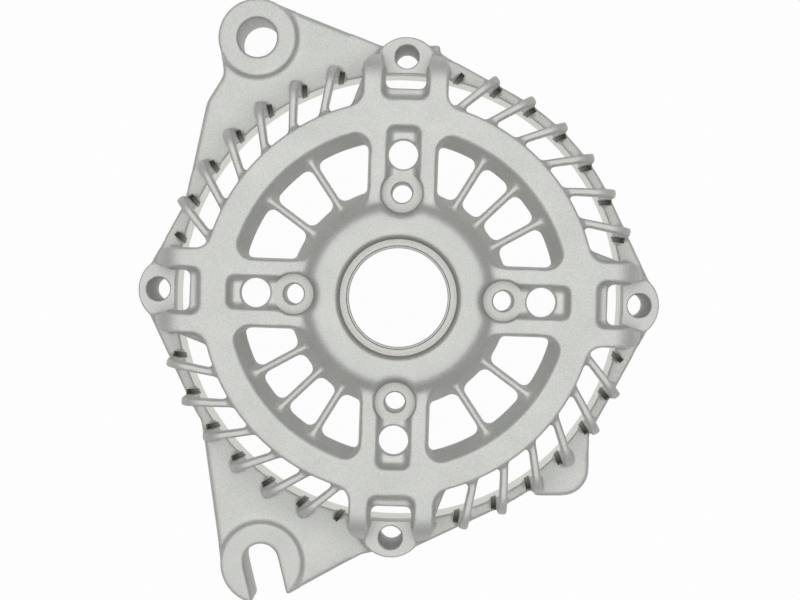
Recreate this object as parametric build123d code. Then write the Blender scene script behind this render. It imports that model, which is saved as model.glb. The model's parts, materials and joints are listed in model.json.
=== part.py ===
from build123d import *
from math import atan, cos, degrees, radians, sin
import os

os.makedirs("parts", exist_ok=True)

# Alternator drive end bracket: one aluminium die casting.
# The origin lies on the bearing axis, in the flat rear face that meets the stator.
# +Z points to the pulley side and +Y to the side of the pivot ear.
# Angles are counted clockwise from +Y, as seen from the pulley side.
# Features of one arm are drawn along +Y and turned to each arm afterwards.

# how far one cast form runs into the next
seating = 3.0

# heights above the rear joint face
register_z = 3.5
web_back_z = 5.0
flange_z = 17.5
lug_z = 19.2
ear_z = 19.5
pad_z = 22.8
plate_back_z = 27.0
pocket_z = 30.5
slat_z = 31.0
rib_top_z = 32.3
face_z = 34.0
hub_z = 37.0

# stator rim and joint flange
rim_r = 65.4
register_r = 66.0
flange_r = 68.7

# arms, bolt bosses and their holes
arm_angles = (2, 92, 182, 272)
boss_r = 9.9
boss_reach = 7.2
boss_at = flange_r + boss_reach - boss_r
bolt_offset = 4.0
bolt_at = boss_at + bolt_offset
bolt_r = 3.4
pad_inner_r = 65.0
arm_half = 12.9
arm_outer_r = 70.0
arm_shoulder = 8.4
arm_throat = 2.0
arm_root = 4.0
notch_half = 5.8
notch_floor_r = 57.4
notch_floor_z = 29.5
notch_corner = 1.5
notch_draft = 11.0
slot_r = 60.0

# cage: the ring and the slanted vent ribs
ring_r = 57.1
draft = 2.4
cage_inner_r = 65.7
rib_first = 15.5
rib_pitch = 10
ribs_per_side = 7
rib_slant = 34.6
rib_start_r = 56.5
rib_outer_r = 69.4
rib_shoulder = 6.2
rib_foot_z = 8.0
rib_inner_r = 66.3
rib_throat = 2.0
rib_half_near = 1.7
rib_half_far = 1.95
rib_draft = 1.58
gusset_leg = 1.8
gusset_rise = 1.2
rib_depth = 5.0
recess_side = 1.3
recess_width = 1.9
recess_depth = 3.0
recess_r = 68.2

# hub with its bearing seat
bore_r = 14.05
ledge_z = 33.6
ledge_r = 16.6
counterbore_r = 17.5
seat_r = 23.5
seat_z = 31.0
hub_back_z = 16.5
hub_side_r = 31.6
dome_r = 24.1
dome_fall = 1.8
valley_r = 27.3

# windows between the spokes and the slats across them
window_outer_r = 44.6
window_inner_r = 31.7
spoke_half = 10.2
wall_slope = 0.565
spoke_slope = 0.107
outer_corner = 4.5
inner_corner = 6.6
slat_half_back = 1.35
slat_half_front = 0.55
slats_three = (30, 45, 60)
slats_two = (35, 55)

# pocket in each spoke, with the retainer screw seat and the vent hole
screw_at = 30.0
screw_r = 2.9
screw_seat_r = 5.9
screw_relief_z = 34.2
screw_relief_draft = 28.0
screw_boss_r = 5.6
vent_at = 40.9
vent_r = 4.2
pocket_half = 3.6
pocket_end = 47.7
pocket_corner = 0.8
pocket_draft = 18.5

# pivot ear, adjusting lug and the small lugs on the flange
ear_at = (-41.5, 76.2)
ear_r = 11.5
ear_bore_r = 5.75
ear_edge_end = (-3.0, 73.2)
ear_edge_angle = 21.4
ear_waist = (-51.5, 65.8)
ear_waist_round = 4.5
ear_heel = (-56.7, 57.5)
ear_heel_round = 3.5
ear_foot_angle = -67.6
lug_at = (-40.5, -78.1)
lug_r = 12.0
lug_back_z = 2.0
lug_edge_end = (-11.0, -75.7)
lug_edge_knee = (-4.5, -74.4)
lug_edge_angle = 152.2
lug_foot_angle = -118.7
lug_slot_half = 5.15
lug_slot_at = (-40.6, -77.5)
lug_slot_tilt = 13.4
tab_at = (48.0, -50.6)
tab_r = 8.0
tab_near_x = 40.3
tab_top_y = -39.5
stop_corner = (12.2, 74.1)


def disc(radius, height, x=0, y=0):
    return Pos(x, y, height) * Circle(radius)


def turned(shape, angles):
    return [Rot(0, 0, -angle) * shape for angle in angles]


def eased(outline, point, operation, size):
    """Outline with the corner nearest a point filleted or chamfered."""
    corner = outline.vertices().sort_by_distance((point[0], point[1], 0))[0]
    return operation(corner, size)


def spun(points):
    return revolve(Plane.XZ * Polygon(*points, align=None), Axis.Z)


def hub_and_plate():
    points = [
        (bore_r, seat_z),
        (bore_r, ledge_z),
        (ledge_r, ledge_z),
        (counterbore_r, hub_z),
        (dome_r, hub_z),
        (dome_r + dome_fall, hub_z - dome_fall / 2),
        (valley_r, face_z),
        (ring_r - seating, face_z),
        (ring_r - seating, plate_back_z),
        (hub_side_r, plate_back_z),
        (hub_side_r, hub_back_z),
        (seat_r, hub_back_z),
        (seat_r, seat_z),
    ]
    return spun(points)


def arm_side():
    """Side view of one pair of arms: out from the ring, over a shoulder and down."""
    low = flange_z - seating
    crown = (arm_outer_r, face_z)
    throat = (cage_inner_r, plate_back_z)
    outline = Polygon(
        (0, plate_back_z),
        throat,
        (cage_inner_r, low),
        (arm_outer_r, low),
        crown,
        (0, face_z),
        align=None,
    )
    outline = eased(outline, crown, fillet, arm_shoulder)
    outline = eased(outline, throat, chamfer, arm_throat)
    plane = Plane(origin=(0, 0, 0), x_dir=(0, 1, 0), z_dir=(1, 0, 0))
    return extrude(plane * outline, arm_half + arm_root, both=True)


def notch():
    """Pocket between two arms, open to the bolt, with a slot on through the ring."""
    reach = arm_outer_r - notch_floor_r
    middle = notch_floor_r + reach
    back = RectangleRounded(2 * notch_half, 2 * reach, notch_corner)
    floor = Pos(0, middle, notch_floor_z) * back
    pocket = extrude(floor, face_z - notch_floor_z, taper=-notch_draft)
    low = flange_z + 1
    slot = Pos(0, middle + slot_r - notch_floor_r, low) * back
    return pocket + extrude(slot, notch_floor_z + 1 - low)


def cage_frame():
    """The ring with the four pairs of arms that reach over to the bolt bosses."""
    low = flange_z - seating
    reach = arm_outer_r + seating - (ring_r - seating)
    arm = Pos(0, ring_r - seating + reach / 2) * Rectangle(2 * arm_half, reach)
    plan = Circle(ring_r) - Circle(ring_r - 2 * seating) + turned(arm, arm_angles)
    roots = plan.vertices().filter_by(
        lambda v: abs(Vector(v.X, v.Y, 0).length - ring_r) < 0.1
    )
    plan = fillet(roots, arm_root)
    block = extrude(Pos(0, 0, low) * plan, face_z - low, taper=draft)
    ring_zone = extrude(disc(ring_r + arm_root, plate_back_z), face_z - plate_back_z)
    frame = block & (ring_zone + turned(arm_side(), arm_angles))
    return frame - turned(notch(), arm_angles)


def rib_directions():
    """Unit vectors along a vent rib and across it, towards its clockwise side."""
    lean = radians(rib_slant)
    return Vector(sin(lean), cos(lean), 0), Vector(cos(lean), -sin(lean), 0)


def along_rib(radius):
    """Distance along a rib's centre line at which it crosses a radius."""
    reach = rib_start_r * cos(radians(rib_slant))
    return (reach**2 + radius**2 - rib_start_r**2) ** 0.5 - reach


def rib_plan():
    """Outline of one vent rib at its foot, widening from the ring outwards."""
    along, side = rib_directions()
    start = Vector(0, rib_start_r, 0)
    inner = start - along * seating
    outer = start + along * (along_rib(rib_outer_r) + seating)
    corners = [
        inner - side * rib_half_near,
        inner + side * rib_half_near,
        outer + side * rib_half_far,
        outer - side * rib_half_far,
    ]
    return Polygon(*[(c.X, c.Y) for c in corners], align=None)


def rib_gusset():
    """Corner web that joins a rib's clockwise side to the ring."""
    along, side = rib_directions()
    root = Vector(0, rib_start_r, 0) + side * (rib_half_near / 2)
    corners = [
        root - along * seating,
        root - along * seating + side * 2 * gusset_leg,
        root + side * gusset_leg - along * gusset_rise,
        root + along * gusset_leg,
    ]
    return Polygon(*[(c.X, c.Y) for c in corners], align=None)


def rib_side():
    """Side view of a vent rib: out from the ring, over a shoulder and down."""
    outer = along_rib(rib_outer_r)
    inner = along_rib(rib_inner_r)
    crown = (outer, rib_top_z)
    throat = (inner, rib_top_z - rib_depth)
    outline = Polygon(
        (-seating, rib_top_z - rib_depth),
        throat,
        (inner, rib_foot_z + 1),
        (outer, rib_foot_z - 1),
        crown,
        (-seating, rib_top_z),
        align=None,
    )
    outline = eased(outline, crown, fillet, rib_shoulder)
    outline = eased(outline, throat, chamfer, rib_throat)
    along, side = rib_directions()
    plane = Plane(origin=(0, rib_start_r, 0), x_dir=along, z_dir=side)
    return extrude(plane * outline, 6, both=True)


def vent_rib():
    low = rib_foot_z - seating
    bar = extrude(Pos(0, 0, low) * rib_plan(), rib_top_z + 1 - low, taper=rib_draft)
    gusset = extrude(Pos(0, 0, low) * rib_gusset(), rib_top_z + 1 - low)
    return (bar + gusset) & rib_side()


def slat_bar(angle):
    """Tapered slat that crosses a window, to be left standing between two openings."""
    low = plate_back_z - 1
    spread = (slat_half_back - slat_half_front) / (slat_z - plate_back_z)
    half = slat_half_back + spread
    plan = Pos(0, window_outer_r, low) * Rectangle(2 * half, 2 * window_outer_r)
    taper = degrees(atan(spread))
    return Rot(0, 0, -angle) * extrude(plan, slat_z - low, taper=taper)


def window(slats):
    """Opening in the quarter between +Y and +X, with its slats left standing."""
    low = plate_back_z - 1
    high = hub_z + 1
    fall = low - plate_back_z
    rise = high - plate_back_z
    between_walls = spun(
        [
            (window_inner_r - wall_slope * fall, low),
            (window_outer_r + wall_slope * fall, low),
            (window_outer_r + wall_slope * rise, high),
            (window_inner_r - wall_slope * rise, high),
        ]
    )
    spread = spoke_slope * (face_z - low)
    widest = wall_slope * (face_z - plate_back_z) - spread
    edge = spoke_half - spoke_slope * fall
    plan = Circle(window_outer_r + widest) - Circle(window_inner_r - widest)
    plan = plan & Pos(edge + ring_r / 2, edge + ring_r / 2) * Rectangle(ring_r, ring_r)
    corners = plan.vertices().sort_by_distance((0, 0, 0))
    plan = fillet(corners[:2], inner_corner - spread)
    corners = plan.vertices().sort_by_distance((0, 0, 0))
    plan = fillet(corners[-2:], outer_corner - spread)
    taper = -degrees(atan(spoke_slope))
    between_spokes = extrude(Pos(0, 0, low) * plan, high - low, taper=taper)
    opening = between_walls & between_spokes
    return opening - [slat_bar(angle) for angle in slats]


def boss_plan(angle):
    """Bolt boss with the tangent lines that join it to the round flange."""
    lean = (flange_r - boss_r) / boss_at
    side = (1 - lean**2) ** 0.5
    points = [(0, 0)]
    for sign in (1, -1):
        wide = (sign * flange_r * side, flange_r * lean)
        tip = (sign * boss_r * side, boss_at + boss_r * lean)
        points += [wide, tip][::sign]
    skirt = Polygon(*points, align=None)
    cap = Pos(0, boss_at) * Circle(boss_r)
    return Rot(0, 0, -angle) * (skirt + cap)


def on_circle(middle, radius, angle):
    turn = radians(angle)
    return middle[0] + radius * sin(turn), middle[1] + radius * cos(turn)


def ear_plan():
    centre = (0, 0)
    web = Polygon(
        centre,
        ear_edge_end,
        on_circle(ear_at, ear_r, ear_edge_angle),
        on_circle(ear_at, ear_r, -90),
        ear_waist,
        ear_heel,
        on_circle(centre, flange_r, ear_foot_angle),
        align=None,
    )
    web = eased(web, ear_waist, fillet, ear_waist_round)
    web = eased(web, ear_heel, fillet, ear_heel_round)
    return web + Pos(*ear_at) * Circle(ear_r)


def lug_plan():
    centre = (0, 0)
    web = Polygon(
        centre,
        on_circle(centre, (rim_r + flange_r) / 2, lug_foot_angle),
        on_circle(lug_at, lug_r, -90),
        on_circle(lug_at, lug_r, lug_edge_angle),
        lug_edge_end,
        lug_edge_knee,
        align=None,
    )
    return web + Pos(*lug_at) * Circle(lug_r)


def small_lugs():
    """The rounded tab and the square stop on the rim of the flange."""
    tab_side = tab_at[0] + tab_r
    tab_low = tab_at[1] - tab_r
    corner = (tab_side, tab_low)
    tab = Polygon((0, 0), (tab_near_x, tab_low), corner, (tab_side, tab_top_y), align=None)
    tab = eased(tab, corner, fillet, tab_r)
    side, top = stop_corner
    return tab + Polygon((0, 0), (side, 0), (side, top), (0, top), align=None)


def pocket():
    """Keyhole pocket of a spoke, with the screw seat, screw hole and vent hole."""
    reach = pocket_end - screw_at
    floor = RectangleRounded(2 * pocket_half, reach, pocket_corner)
    floor = Pos(0, pocket_end - reach / 2, pocket_z) * floor
    trough = extrude(floor, hub_z - pocket_z, taper=-pocket_draft)
    seat = extrude(disc(screw_seat_r, pocket_z, 0, screw_at), hub_z)
    mouth = disc(screw_seat_r, screw_relief_z, 0, screw_at)
    relief = extrude(mouth, seating, taper=-screw_relief_draft)
    screw = extrude(disc(screw_r, 0, 0, screw_at), hub_z)
    vent = extrude(disc(vent_r, 0, 0, vent_at), hub_z)
    return [trough, seat, relief, screw, vent]


def foot_recess():
    """Recess in the flange face beside the foot of a rib, on its clockwise side."""
    along, side = rib_directions()
    near = recess_side
    far = recess_side + recess_width
    reach = along_rib(flange_r)
    start = Vector(0, rib_start_r, 0)
    corners = [
        start + side * near,
        start + side * far,
        start + side * far + along * reach,
        start + side * near + along * reach,
    ]
    strip = Polygon(*[(c.X, c.Y) for c in corners], align=None)
    plan = strip & Circle(recess_r)
    low = flange_z - recess_depth
    return extrude(Pos(0, 0, low) * plan, recess_depth + seating)


def flange_with_lugs():
    rim = Circle(flange_r) + [boss_plan(angle) for angle in arm_angles]
    upper = Pos(0, 0, web_back_z) * (rim + ear_plan() + lug_plan() + small_lugs())
    base = extrude(rim, web_back_z) + extrude(upper, flange_z - web_back_z)
    ear = extrude(Pos(*ear_at) * Circle(ear_r), ear_z)
    lug = extrude(Pos(*lug_at, lug_back_z) * Circle(lug_r), lug_z - lug_back_z)
    pads = turned(extrude(Pos(0, boss_at) * Circle(boss_r), pad_z), arm_angles)
    base = base + [ear, lug] + pads
    hollow = extrude(Circle(rim_r), flange_z) + extrude(Circle(register_r), register_z)
    hollow = hollow + extrude(Pos(0, 0, flange_z) * Circle(pad_inner_r), hub_z)
    recesses = []
    for start in arm_angles:
        for step in range(-1, ribs_per_side - 1):
            angle = start + rib_first + rib_pitch * step
            recesses += turned(foot_recess(), [angle])
    return base - hollow - recesses


def holes():
    bore = extrude(Pos(*ear_at) * Circle(ear_bore_r), ear_z + 1)
    end = Pos(*lug_slot_at) * Circle(lug_slot_half)
    way = Pos(0, -lug_r) * Rectangle(2 * lug_slot_half, 2 * lug_r)
    slot = end + Pos(*lug_slot_at) * Rot(0, 0, lug_slot_tilt) * way
    bolt = extrude(Pos(0, bolt_at) * Circle(bolt_r), pad_z + 1)
    return [bore, extrude(slot, lug_z + 1)] + turned(bolt, arm_angles)


def front_cover():
    """Hub, spokes, ring and arms, with the windows and the spoke pockets cut."""
    boss_height = plate_back_z + 1 - hub_back_z
    boss = extrude(disc(screw_boss_r, hub_back_z, 0, screw_at), boss_height)
    cover = hub_and_plate() + turned(boss, arm_angles) + cage_frame()
    cover = cover - extrude(Circle(seat_r), seat_z)
    for angle, slats in zip(arm_angles, (slats_three, slats_two) * 2):
        cover = cover - turned(window(slats), [angle])
    for tool in pocket():
        cover = cover - turned(tool, arm_angles)
    return cover - holes()


def whole_bracket():
    rib = vent_rib()
    ribs = []
    for start in arm_angles:
        for step in range(ribs_per_side):
            ribs += turned(rib, [start + rib_first + rib_pitch * step])
    casting = flange_with_lugs() - holes() + front_cover()
    return casting + ribs


bracket = whole_bracket()
bracket.label = "drive_end_bracket"
export_step(bracket, "parts/drive_end_bracket.step")
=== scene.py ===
import json
from math import cos, radians, sin, tau

import bmesh
import bpy
from mathutils import Matrix, Vector


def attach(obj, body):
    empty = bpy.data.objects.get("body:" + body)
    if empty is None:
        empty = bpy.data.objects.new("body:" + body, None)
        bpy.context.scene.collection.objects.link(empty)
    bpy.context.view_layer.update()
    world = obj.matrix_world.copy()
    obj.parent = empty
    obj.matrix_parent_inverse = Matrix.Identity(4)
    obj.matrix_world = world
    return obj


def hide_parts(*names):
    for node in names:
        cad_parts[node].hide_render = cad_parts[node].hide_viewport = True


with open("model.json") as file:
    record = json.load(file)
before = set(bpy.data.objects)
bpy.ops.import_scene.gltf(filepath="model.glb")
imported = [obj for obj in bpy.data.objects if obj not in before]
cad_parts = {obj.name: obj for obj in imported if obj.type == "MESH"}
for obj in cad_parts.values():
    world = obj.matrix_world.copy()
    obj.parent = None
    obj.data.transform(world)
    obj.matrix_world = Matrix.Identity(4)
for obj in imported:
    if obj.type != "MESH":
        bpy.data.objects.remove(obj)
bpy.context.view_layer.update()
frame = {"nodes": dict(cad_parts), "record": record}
mounts = {mount["name"]: mount for mount in frame["record"]["mounts"]}

# lengths are in metres
MM = 0.001

# where the photograph was taken from, and its own lens
CAMERA_X = 5.6 * MM
CAMERA_Y = 4.15 * MM
CAMERA_Z = 490 * MM
NEAR_CLIP = 10 * MM
SENSOR_WIDTH = 36.0
LENS = 72.3
SHIFT_X = -0.0225
SHIFT_Y = -0.02125

# light and floor
LAMP_PLACE = (0, 0.04, 0.8)
LAMP_SIZE = 1.2
LAMP_POWER = 6.6
WORLD_LEVEL = 0.14
FLOOR_HALF = 1.5
FLOOR_DROP = 0.3 * MM
FLOOR_TONE = 0.6
FLOOR_GLOW = 0.97

# finishes, in the order of the bracket's material slots
CAST = 0
TURNED_RIM = 1
# slot for the turned metal of seats and holes, darkened as painted shade
TURNED_SEAT_SHADED = 2
CAST_GRAIN = 2600
CAST_PATCHES = 90
CAST_DARK = (0.48, 0.49, 0.47)
CAST_LIGHT = (0.70, 0.71, 0.68)
# painted shade: a darker tint laid into the casting's hollows and corners, where shade falls
PAINTED_SHADE_TINT = (0.50, 0.48, 0.43)
PAINTED_SHADE_REACH = 1.8 * MM
TURNED_GRAIN = 2200
TURNING_MARKS = 4200
RIM_DARK = (0.72, 0.71, 0.65)
RIM_LIGHT = (0.88, 0.87, 0.81)
# seats, bore and hole walls: the rim's turned metal, made darker as painted shade
SEAT_SHADED_DARK = (0.33, 0.328, 0.31)
SEAT_SHADED_LIGHT = (0.50, 0.497, 0.475)

# the cast skin: inner corners are filled as the die leaves them, then edges are worn soft
WELD = 0.002 * MM
SKIN_GRID = 0.35 * MM
CAST_FILLET = 0.5 * MM
FILLET_STEPS = 2
SOFT_PASSES = 3
BLAST_PASSES = 55
SKIN_TRIANGLES = 175000
SMOOTHING = 0.5

# edges that turn by more than this, in radians, stay crisp
SHARP_ANGLE = 0.7

# where the cast edges are worn most: the hub's dome, and the webs of ear and lug
DOME_INNER_R = 19 * MM
DOME_OUTER_R = 30 * MM
DOME_DEPTH = 4 * MM
WEB_FROM_R = 71 * MM
ARM_CLEAR = 14 * MM
LUG_AT = (-40.5 * MM, -78.1 * MM)
DISC_R = 13.5 * MM

# heights of the casting, up from the joint face
FLANGE_Z = 17.5 * MM
PLATE_BACK_Z = 27 * MM
SLAT_Z = 31 * MM
HUB_Z = 37 * MM

# stator register and rim
REGISTER_R = mounts["stator_register"]["dims"]["r_mm"] * MM
REGISTER_Z = mounts["stator_register"]["dims"]["length_mm"] * MM
RIM_R = 65.4 * MM
RIM_CORE = 4 * MM
OUTSIDE_R = 95 * MM

# bearing seat and hub bore; the bore's edge is given as steps out from it and down from the ledge
SEAT_R = mounts["bearing_seat"]["dims"]["r_mm"] * MM
SEAT_Z = 31 * MM
SEAT_REACH = 18 * MM
BORE_R = mounts["shaft_bore"]["dims"]["r_mm"] * MM
BORE_EDGE = [(0, 0.9 * MM), (0.22 * MM, 0.35 * MM), (0.55 * MM, 0.3 * MM), (0.8 * MM, 0)]
LEDGE_R = 16.6 * MM
LEDGE_Z = 33.6 * MM
LEDGE_FLARE = 1.17 * MM
LEDGE_RISE = 1 * MM

# arms, with the through bolts at their ends; their corners' arcs are stretched along the arm
ARM_ANGLES = [2, 92, 182, 272]
ARM_TURNS = [-angle for angle in ARM_ANGLES]
ARM_HALF = 12.9 * MM
ARM_OUTER_R = 70 * MM
ARM_CORNER = 4.2 * MM
CORNER_STRETCH = 1.7
CORNER_STEPS = 8
PAD_Z = mounts["tie_bolts"]["pos_m"][2]
BOLT_AT = mounts["tie_bolts"]["dims"]["pcd_mm"] / 2 * MM
BOLT_R = mounts["tie_bolts"]["dims"]["hole_r_mm"] * MM
SPOT_FACE_R = 7.3 * MM
MOUTH = 0.2 * MM

# spokes, with the bearing retainer's screws and the vent holes
POCKET_Z = mounts["retainer_screws"]["pos_m"][2]
SCREW_AT = mounts["retainer_screws"]["dims"]["pcd_mm"] / 2 * MM
SCREW_R = mounts["retainer_screws"]["dims"]["hole_r_mm"] * MM
SCREW_SEAT_R = 5.85 * MM
VENT_AT = 40.9 * MM
VENT_R = 4.2 * MM

# pivot ear
EAR_AT = mounts["pivot_bore"]["pos_m"][:2]
EAR_BORE_R = mounts["pivot_bore"]["dims"]["r_mm"] * MM

# slats across the windows
WINDOW_INNER_R = 31.7 * MM
WINDOW_OUTER_R = 44.6 * MM
WALL_SLOPE = 0.565
SLAT_HALF = 0.9 * MM
FLARE_FOOT = 2.8 * MM
FLARE_CREST = 1.3 * MM
FLARE_SIDES = 4
SLATS_THREE = (30, 45, 60)
SLATS_TWO = (35, 55)
SLAT_TURNS = [
    -(arm + place)
    for arm, places in zip(ARM_ANGLES, (SLATS_THREE, SLATS_TWO) * 2)
    for place in places
]

# slits in the flange beside the feet of the slanted ribs
RIB_START_R = 56.5 * MM
RIB_SLANT = radians(34.6)
RIB_STEP = 10
RECESS_FIRST = 5.5
RECESSES = 7
RECESS_NEAR = 1.35 * MM
RECESS_FAR = 2.85 * MM
RECESS_FROM = 11.2 * MM
RECESS_TO = 14.9 * MM
RECESS_DEPTH = 6 * MM
RECESS_TURNS = [
    -(arm + RECESS_FIRST + RIB_STEP * place) for arm in ARM_ANGLES for place in range(RECESSES)
]

# cutters: how far they go under a cast face, how far they stand past it, and their sides
CUT = 0.08 * MM
PAST = 2 * MM
TOOL_SIDES = 96


def new_material(name):
    """Empty node material with its output."""
    material = bpy.data.materials.new(name)
    material.use_nodes = True
    nodes = material.node_tree.nodes
    nodes.clear()
    output = nodes.new("ShaderNodeOutputMaterial")
    return material, nodes, material.node_tree.links, output


def object_noise(nodes, links, scale, detail, roughness=0.5):
    """Noise that stays with the piece."""
    coordinates = nodes.new("ShaderNodeTexCoord")
    noise = nodes.new("ShaderNodeTexNoise")
    noise.inputs["Scale"].default_value = scale
    noise.inputs["Detail"].default_value = detail
    noise.inputs["Roughness"].default_value = roughness
    links.new(coordinates.outputs["Object"], noise.inputs["Vector"])
    return noise.outputs["Fac"]


def colour_ramp(nodes, links, factor, stops):
    ramp = nodes.new("ShaderNodeValToRGB")
    elements = ramp.color_ramp.elements
    while len(elements) < len(stops):
        elements.new(0.5)
    for element, (place, value) in zip(elements, stops):
        element.position = place
        element.color = (*value, 1)
    links.new(factor, ramp.inputs["Fac"])
    return ramp.outputs["Color"]


def weighted_sum(nodes, links, value, weight, base):
    """A value times its weight, added to a base."""
    total = nodes.new("ShaderNodeMath")
    total.operation = "MULTIPLY_ADD"
    total.inputs[1].default_value = weight
    links.new(value, total.inputs[0])
    links.new(base, total.inputs[2])
    return total.outputs[0]


def vary_roughness(nodes, links, shader, grain, low, high):
    rough = nodes.new("ShaderNodeMapRange")
    rough.inputs["To Min"].default_value = low
    rough.inputs["To Max"].default_value = high
    links.new(grain, rough.inputs["Value"])
    links.new(rough.outputs["Result"], shader.inputs["Roughness"])


def add_bump(nodes, links, shader, height, strength, depth):
    bump = nodes.new("ShaderNodeBump")
    bump.inputs["Strength"].default_value = strength
    bump.inputs["Distance"].default_value = depth
    links.new(height, bump.inputs["Height"])
    links.new(bump.outputs["Normal"], shader.inputs["Normal"])


def tone_with_painted_shade(nodes, links, tone):
    """The tone, darkened with painted shade where the casting is hollow."""
    occlusion = nodes.new("ShaderNodeAmbientOcclusion")
    occlusion.samples = 8
    occlusion.inputs["Distance"].default_value = PAINTED_SHADE_REACH
    # painted shade: the tint is strongest where the occlusion is highest
    painted_shade = colour_ramp(nodes, links, occlusion.outputs["AO"], [(0.3, PAINTED_SHADE_TINT), (0.8, (1, 1, 1))])
    shading_mix = nodes.new("ShaderNodeMix")
    shading_mix.data_type = "RGBA"
    shading_mix.blend_type = "MULTIPLY"
    shading_mix.inputs["Factor"].default_value = 1
    links.new(tone, shading_mix.inputs["A"])
    links.new(painted_shade, shading_mix.inputs["B"])
    return shading_mix.outputs["Result"]


def turning_rings(nodes, links):
    """Fine rings round the bearing axis, as a turning tool leaves them."""
    coordinates = nodes.new("ShaderNodeTexCoord")
    flat = nodes.new("ShaderNodeVectorMath")
    flat.operation = "MULTIPLY"
    flat.inputs[1].default_value = (1, 1, 0)
    links.new(coordinates.outputs["Object"], flat.inputs[0])
    radius = nodes.new("ShaderNodeVectorMath")
    radius.operation = "LENGTH"
    links.new(flat.outputs["Vector"], radius.inputs[0])
    rings = nodes.new("ShaderNodeTexNoise")
    rings.noise_dimensions = "1D"
    rings.inputs["Scale"].default_value = TURNING_MARKS
    rings.inputs["Detail"].default_value = 2
    links.new(radius.outputs["Value"], rings.inputs["W"])
    return rings.outputs["Fac"]


def cast_aluminium():
    """Shot-blasted die casting: pale satin grey with a fine grain."""
    material, nodes, links, output = new_material("blasted_cast_aluminium")
    shader = nodes.new("ShaderNodeBsdfPrincipled")
    shader.inputs["Metallic"].default_value = 0.5
    grain = object_noise(nodes, links, CAST_GRAIN, 2.0, 0.7)
    patches = object_noise(nodes, links, CAST_PATCHES, 3.0)
    mottling = weighted_sum(nodes, links, patches, 0.25, grain)
    tone = colour_ramp(nodes, links, mottling, [(0.35, CAST_DARK), (0.85, CAST_LIGHT)])
    # the cast tone gets painted shade in its hollows
    links.new(tone_with_painted_shade(nodes, links, tone), shader.inputs["Base Color"])
    vary_roughness(nodes, links, shader, grain, 0.48, 0.66)
    add_bump(nodes, links, shader, grain, 0.25, 0.06 * MM)
    links.new(shader.outputs["BSDF"], output.inputs["Surface"])
    return material


def turned_aluminium(name, dark, light):
    """Cut faces: smoother and a little warmer, with faint turning marks."""
    material, nodes, links, output = new_material(name)
    shader = nodes.new("ShaderNodeBsdfPrincipled")
    shader.inputs["Metallic"].default_value = 0.75
    grain = object_noise(nodes, links, TURNED_GRAIN, 2.0, 0.6)
    marks = weighted_sum(nodes, links, turning_rings(nodes, links), 0.6, grain)
    tone = colour_ramp(nodes, links, marks, [(0.5, dark), (1.0, light)])
    links.new(tone, shader.inputs["Base Color"])
    vary_roughness(nodes, links, shader, grain, 0.35, 0.55)
    add_bump(nodes, links, shader, marks, 0.2, 0.03 * MM)
    links.new(shader.outputs["BSDF"], output.inputs["Surface"])
    return material


def add_modifier(piece, name, kind, **settings):
    modifier = piece.modifiers.new(name, kind)
    for key, value in settings.items():
        setattr(modifier, key, value)
    return modifier


def bake_modifiers(piece):
    """Mesh of a piece with its modifiers taken in."""
    graph = bpy.context.evaluated_depsgraph_get()
    shaped = bpy.data.meshes.new_from_object(piece.evaluated_get(graph), depsgraph=graph)
    piece.modifiers.clear()
    piece.data = shaped


def new_tool(name, mesh, finish):
    """Helper body, whose faces leave their finish on what it cuts."""
    bmesh.ops.recalc_face_normals(mesh, faces=mesh.faces)
    for face in mesh.faces:
        face.material_index = finish
    data = bpy.data.meshes.new(name)
    mesh.to_mesh(data)
    mesh.free()
    tool = bpy.data.objects.new(name, data)
    bpy.context.scene.collection.objects.link(tool)
    return tool


def turned_tool(name, profile, finish):
    """Closed profile of radius and height, turned round the bearing axis."""
    mesh = bmesh.new()
    ring = [mesh.verts.new((radius, 0, height)) for radius, height in profile]
    edges = [mesh.edges.new(pair) for pair in zip(ring, ring[1:] + ring[:1])]
    bmesh.ops.spin(
        mesh,
        geom=ring + edges,
        cent=(0, 0, 0),
        axis=(0, 0, 1),
        angle=tau,
        steps=2 * TOOL_SIDES,
        use_merge=True,
    )
    return new_tool(name, mesh, finish)


def drill(name, radius, low, high, x, y, finish, mouth=0):
    """Round cutter between two heights, wider at its top by the mouth."""
    mesh = bmesh.new()
    bmesh.ops.create_cone(
        mesh,
        cap_ends=True,
        segments=TOOL_SIDES,
        radius1=radius,
        radius2=radius + mouth,
        depth=high - low,
        matrix=Matrix.Translation((x, y, (low + high) / 2)),
    )
    return new_tool(name, mesh, finish)


def corner_tool(name, side):
    """Takes the square outer corner off an arm, up to an arc."""
    mesh = bmesh.new()
    x = side * (ARM_HALF - ARM_CORNER)
    y = ARM_OUTER_R - ARM_CORNER
    start = mesh.verts.new((x, y + ARM_CORNER, FLANGE_Z + CUT))
    bmesh.ops.spin(
        mesh,
        geom=[start],
        cent=(x, y, 0),
        axis=(0, 0, 1),
        angle=-side * tau / 4,
        steps=CORNER_STEPS,
    )
    far = ARM_CORNER + PAST
    for corner_x, corner_y in ((side * far, 0), (side * far, far), (0, far)):
        mesh.verts.new((x + corner_x, y + corner_y, FLANGE_Z + CUT))
    face = mesh.faces.new(list(mesh.verts))
    stretch = Matrix.Diagonal((1, CORNER_STRETCH, 1, 1))
    from_end = Matrix.Translation((0, -ARM_OUTER_R, 0))
    bmesh.ops.transform(mesh, verts=list(mesh.verts), matrix=stretch, space=from_end)
    raised = bmesh.ops.extrude_face_region(mesh, geom=[face])
    verts = [item for item in raised["geom"] if isinstance(item, bmesh.types.BMVert)]
    bmesh.ops.translate(mesh, verts=verts, vec=(0, 0, HUB_Z))
    return new_tool(name, mesh, CAST)


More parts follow.
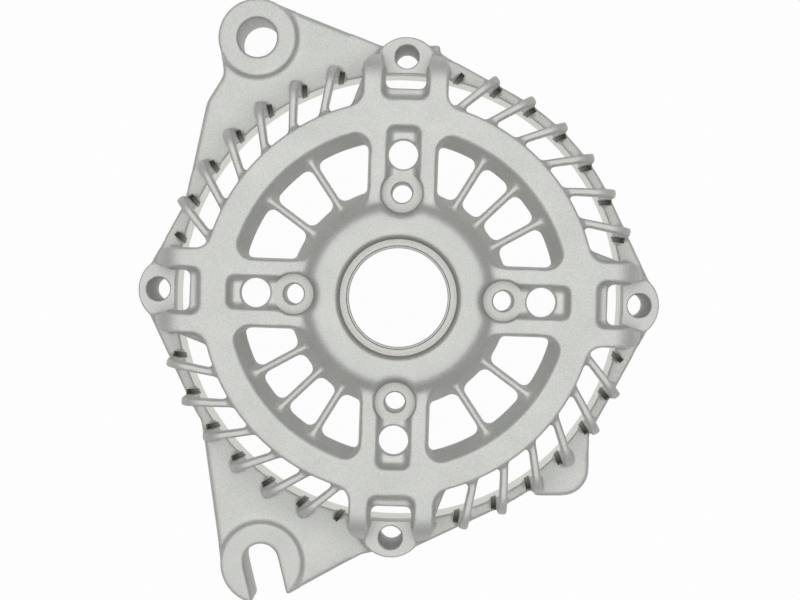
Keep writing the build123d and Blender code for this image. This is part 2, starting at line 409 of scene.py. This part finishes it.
def recess_tool():
    """Slit in the flange beside the foot of a rib."""
    along = Vector((sin(RIB_SLANT), cos(RIB_SLANT), 0))
    side = Vector((cos(RIB_SLANT), -sin(RIB_SLANT), 0))
    start = Vector((0, RIB_START_R, FLANGE_Z - RECESS_DEPTH))
    mesh = bmesh.new()
    corners = (
        start + side * RECESS_NEAR + along * RECESS_FROM,
        start + side * RECESS_FAR + along * RECESS_FROM,
        start + side * RECESS_FAR + along * RECESS_TO,
        start + side * RECESS_NEAR + along * RECESS_TO,
    )
    face = mesh.faces.new([mesh.verts.new(corner) for corner in corners])
    raised = bmesh.ops.extrude_face_region(mesh, geom=[face])
    verts = [item for item in raised["geom"] if isinstance(item, bmesh.types.BMVert)]
    bmesh.ops.translate(mesh, verts=verts, vec=(0, 0, 2 * RECESS_DEPTH))
    return new_tool("recess_tool", mesh, CAST)


def repeat(piece, turns):
    """Turned copies of a small body about the bearing axis, in degrees."""
    mesh = bmesh.new()
    mesh.from_mesh(piece.data)
    first = list(mesh.verts) + list(mesh.edges) + list(mesh.faces)
    for turn in turns:
        copied = bmesh.ops.duplicate(mesh, geom=first)
        verts = [item for item in copied["geom"] if isinstance(item, bmesh.types.BMVert)]
        turned = Matrix.Rotation(radians(turn), 3, "Z")
        bmesh.ops.rotate(mesh, verts=verts, cent=(0, 0, 0), matrix=turned)
    bmesh.ops.delete(mesh, geom=[item for item in first if isinstance(item, bmesh.types.BMVert)])
    mesh.to_mesh(piece.data)
    mesh.free()
    return piece


def cut_away(piece, tool, turns=(0,)):
    """Cuts a piece with a tool, turned about the bearing axis."""
    repeat(tool, turns)
    add_modifier(piece, "cut", "BOOLEAN", object=tool, operation="DIFFERENCE", solver="MANIFOLD")
    bake_modifiers(piece)
    bpy.data.objects.remove(tool)


def slat_flesh():
    """Fuller crest of a slat, with flares where it runs into the window's walls."""
    mesh = bmesh.new()
    rise = SLAT_Z + CUT - PLATE_BACK_Z
    length = WINDOW_OUTER_R - WINDOW_INNER_R + 2 * WALL_SLOPE * rise
    middle = (WINDOW_OUTER_R + WINDOW_INNER_R) / 2
    upper_third = rise / 3
    shape = Matrix.Diagonal((2 * SLAT_HALF, length, upper_third, 1))
    place = Matrix.Translation((0, middle, SLAT_Z + CUT - upper_third / 2))
    bmesh.ops.create_cube(mesh, size=1, matrix=place @ shape)
    for radius, slope in ((WINDOW_INNER_R, -WALL_SLOPE), (WINDOW_OUTER_R, WALL_SLOPE)):
        lean = Matrix.Identity(4)
        lean[1][2] = slope
        upright = Matrix.Translation((0, 0, rise / 2))
        bmesh.ops.create_cone(
            mesh,
            cap_ends=True,
            segments=FLARE_SIDES,
            radius1=FLARE_FOOT,
            radius2=FLARE_CREST,
            depth=rise,
            matrix=Matrix.Translation((0, radius, PLATE_BACK_Z)) @ lean @ upright,
        )
    return new_tool("slat_flesh", mesh, CAST)


def add_flesh(mesh):
    """Adds the slats' fuller crests to the mesh, for the grid to join."""
    flesh = repeat(slat_flesh(), SLAT_TURNS)
    mesh.from_mesh(flesh.data)
    bpy.data.objects.remove(flesh)


def grow(piece, distance):
    """Moves the whole skin out or in by short steps, on a fresh grid each time."""
    for step in range(FILLET_STEPS):
        strength = distance / FILLET_STEPS
        add_modifier(piece, "grow", "DISPLACE", strength=strength, mid_level=0)
        add_modifier(piece, "grid", "REMESH", mode="VOXEL", voxel_size=SKIN_GRID)
    bake_modifiers(piece)


def soft_zone(piece):
    """Weights for the worn edges: the hub dome and the webs of ear and lug."""
    group = piece.vertex_groups.new(name="soft_zone")
    chosen = []
    for vertex in piece.data.vertices:
        x, y, z = vertex.co
        radius = (x * x + y * y) ** 0.5
        on_dome = DOME_INNER_R < radius < DOME_OUTER_R and z > HUB_Z - DOME_DEPTH
        on_web = radius > WEB_FROM_R and abs(x) > ARM_CLEAR and abs(y) > ARM_CLEAR
        from_ear = (x - EAR_AT[0]) ** 2 + (y - EAR_AT[1]) ** 2
        from_lug = (x - LUG_AT[0]) ** 2 + (y - LUG_AT[1]) ** 2
        on_disc = min(from_ear, from_lug) < DISC_R**2
        if on_dome or (on_web and not on_disc):
            chosen.append(vertex.index)
    group.add(chosen, 1, "REPLACE")
    return group.name


def cast_skin(node):
    """Copy of the cast node with filled inner corners and soft edges."""
    piece = bpy.data.objects.new("cast_bracket", node.data.copy())
    bpy.context.scene.collection.objects.link(piece)
    mesh = bmesh.new()
    mesh.from_mesh(piece.data)
    bmesh.ops.remove_doubles(mesh, verts=mesh.verts, dist=WELD)
    add_flesh(mesh)
    mesh.to_mesh(piece.data)
    mesh.free()
    add_modifier(piece, "grid", "REMESH", mode="VOXEL", voxel_size=SKIN_GRID)
    bake_modifiers(piece)
    for side in (1, -1):
        cut_away(piece, corner_tool("corner_tool", side), ARM_TURNS)
    grow(piece, CAST_FILLET)
    grow(piece, -CAST_FILLET)
    zone = soft_zone(piece)
    add_modifier(piece, "blast", "SMOOTH", factor=SMOOTHING, iterations=BLAST_PASSES, vertex_group=zone)
    add_modifier(piece, "soft", "SMOOTH", factor=SMOOTHING, iterations=SOFT_PASSES)
    bake_modifiers(piece)
    share = SKIN_TRIANGLES / (2 * len(piece.data.polygons))
    add_modifier(piece, "lighter", "DECIMATE", decimate_type="COLLAPSE", ratio=min(1, share))
    bake_modifiers(piece)
    return piece


def rim_tool():
    """Turns the joint face, the stator register and the rim's inner wall."""
    core = RIM_R - RIM_CORE
    profile = [
        (core, -PAST),
        (OUTSIDE_R, -PAST),
        (OUTSIDE_R, CUT),
        (REGISTER_R + CUT, CUT),
        (REGISTER_R + CUT, REGISTER_Z),
        (RIM_R + CUT, REGISTER_Z),
        (RIM_R + CUT, FLANGE_Z - CUT),
        (core, FLANGE_Z - CUT),
    ]
    return turned_tool("rim_tool", profile, TURNED_RIM)


def hub_tool():
    """Turns the bearing seat, the bore with its stepped edge, and the ledge in front."""
    core = BORE_R / 2
    low = LEDGE_Z - CUT
    profile = [
        (core, SEAT_Z - SEAT_REACH),
        (SEAT_R + CUT, SEAT_Z - SEAT_REACH),
        (SEAT_R + CUT, SEAT_Z),
        (BORE_R, SEAT_Z),
        *((BORE_R + out, low - down) for out, down in BORE_EDGE),
        (LEDGE_R, low),
        (LEDGE_R + LEDGE_FLARE, HUB_Z + LEDGE_RISE),
        (core, HUB_Z + LEDGE_RISE),
    ]
    return turned_tool("hub_tool", profile, TURNED_SEAT_SHADED)


def machine(piece):
    """The faces and holes that are cut after casting."""
    cut_away(piece, rim_tool())
    cut_away(piece, hub_tool())
    top = HUB_Z + PAST
    mouth = PAD_Z - MOUTH
    at_arms = (
        ("spot_face", SPOT_FACE_R, PAD_Z - CUT, top, 0, BOLT_AT, CAST),
        ("bolt_drill", BOLT_R, -PAST, top, 0, BOLT_AT, CAST),
        ("bolt_mouth", BOLT_R, mouth, PAD_Z, 0, BOLT_AT, TURNED_SEAT_SHADED, MOUTH),
        ("screw_seat", SCREW_SEAT_R, POCKET_Z - CUT, top, 0, SCREW_AT, TURNED_SEAT_SHADED),
        ("screw_drill", SCREW_R, -PAST, top, 0, SCREW_AT, TURNED_SEAT_SHADED),
        ("vent_drill", VENT_R, -PAST, top, 0, VENT_AT, TURNED_SEAT_SHADED),
    )
    for cut in at_arms:
        cut_away(piece, drill(*cut), ARM_TURNS)
    cut_away(piece, drill("ear_drill", EAR_BORE_R, -PAST, top, *EAR_AT, TURNED_SEAT_SHADED))
    cut_away(piece, recess_tool(), RECESS_TURNS)


def mark_edges(piece):
    """Smooth faces, with crisp edges only where a cutter left them."""
    piece.data.shade_smooth()
    mesh = bmesh.new()
    mesh.from_mesh(piece.data)
    for edge in mesh.edges:
        finishes = [face.material_index for face in edge.link_faces]
        between = len(finishes) == 2 and finishes[0] != finishes[1]
        edge.smooth = not (between or edge.calc_face_angle(0) > SHARP_ANGLE)
    mesh.to_mesh(piece.data)
    mesh.free()
    add_modifier(piece, "even_shading", "WEIGHTED_NORMAL", keep_sharp=True)
    bake_modifiers(piece)


def overhead_lamp():
    """One broad lamp above the camera, aimed at the hub."""
    light = bpy.data.lights.new("overhead", "AREA")
    light.shape = "DISK"
    light.size = LAMP_SIZE
    light.energy = LAMP_POWER
    light.color = (1, 1, 1)
    holder = bpy.data.objects.new("overhead", light)
    bpy.context.scene.collection.objects.link(holder)
    holder.location = LAMP_PLACE
    holder.rotation_euler = (-Vector(LAMP_PLACE)).to_track_quat("-Z", "Y").to_euler()


def pale_floor():
    """Floor that the camera and the metal see as nearly white, with a soft shadow."""
    mesh = bmesh.new()
    bmesh.ops.create_grid(mesh, x_segments=1, y_segments=1, size=FLOOR_HALF)
    data = bpy.data.meshes.new("floor")
    mesh.to_mesh(data)
    mesh.free()
    floor = bpy.data.objects.new("floor", data)
    floor.location.z = -FLOOR_DROP
    bpy.context.scene.collection.objects.link(floor)
    material, nodes, links, output = new_material("pale_floor")
    diffuse = nodes.new("ShaderNodeBsdfDiffuse")
    diffuse.inputs["Color"].default_value = (FLOOR_TONE, FLOOR_TONE, FLOOR_TONE, 1)
    glow = nodes.new("ShaderNodeEmission")
    glow.inputs["Color"].default_value = (1, 1, 1, 1)
    ray = nodes.new("ShaderNodeLightPath")
    share = nodes.new("ShaderNodeMath")
    share.operation = "MULTIPLY"
    share.inputs[1].default_value = FLOOR_GLOW
    seen = nodes.new("ShaderNodeMath")
    seen.operation = "MAXIMUM"
    links.new(ray.outputs["Is Camera Ray"], seen.inputs[0])
    links.new(ray.outputs["Is Glossy Ray"], seen.inputs[1])
    links.new(seen.outputs[0], share.inputs[0])
    mix = nodes.new("ShaderNodeMixShader")
    links.new(share.outputs[0], mix.inputs["Fac"])
    links.new(diffuse.outputs["BSDF"], mix.inputs[1])
    links.new(glow.outputs["Emission"], mix.inputs[2])
    links.new(mix.outputs["Shader"], output.inputs["Surface"])
    floor.data.materials.append(material)


def studio():
    """Pale floor, low even light all round and the lamp."""
    pale_floor()
    world = bpy.data.worlds.new("studio")
    world.use_nodes = True
    bpy.context.scene.world = world
    background = world.node_tree.nodes["Background"]
    background.inputs["Color"].default_value = (1, 1, 1, 1)
    background.inputs["Strength"].default_value = WORLD_LEVEL
    overhead_lamp()


def camera():
    """Looks straight down at the bracket, as the photograph does."""
    data = bpy.data.cameras.new("camera")
    data.sensor_width = SENSOR_WIDTH
    data.lens = LENS
    data.shift_x = SHIFT_X
    data.shift_y = SHIFT_Y
    data.clip_start = NEAR_CLIP
    holder = bpy.data.objects.new("camera", data)
    holder.location = (CAMERA_X, CAMERA_Y, CAMERA_Z)
    bpy.context.scene.collection.objects.link(holder)
    bpy.context.scene.camera = holder


bpy.context.scene.view_settings.view_transform = "Standard"
camera()
studio()

bracket = cast_skin(frame["nodes"]["drive_end_bracket"])
bracket.data.materials.clear()
bracket.data.materials.append(cast_aluminium())
bracket.data.materials.append(turned_aluminium("turned_rim", RIM_DARK, RIM_LIGHT))
# the same turned metal as the rim, darker as painted shade in the seats and holes
bracket.data.materials.append(turned_aluminium("turned_seats_painted_shade", SEAT_SHADED_DARK, SEAT_SHADED_LIGHT))
machine(bracket)
mark_edges(bracket)
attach(bracket, "root")
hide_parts("drive_end_bracket")
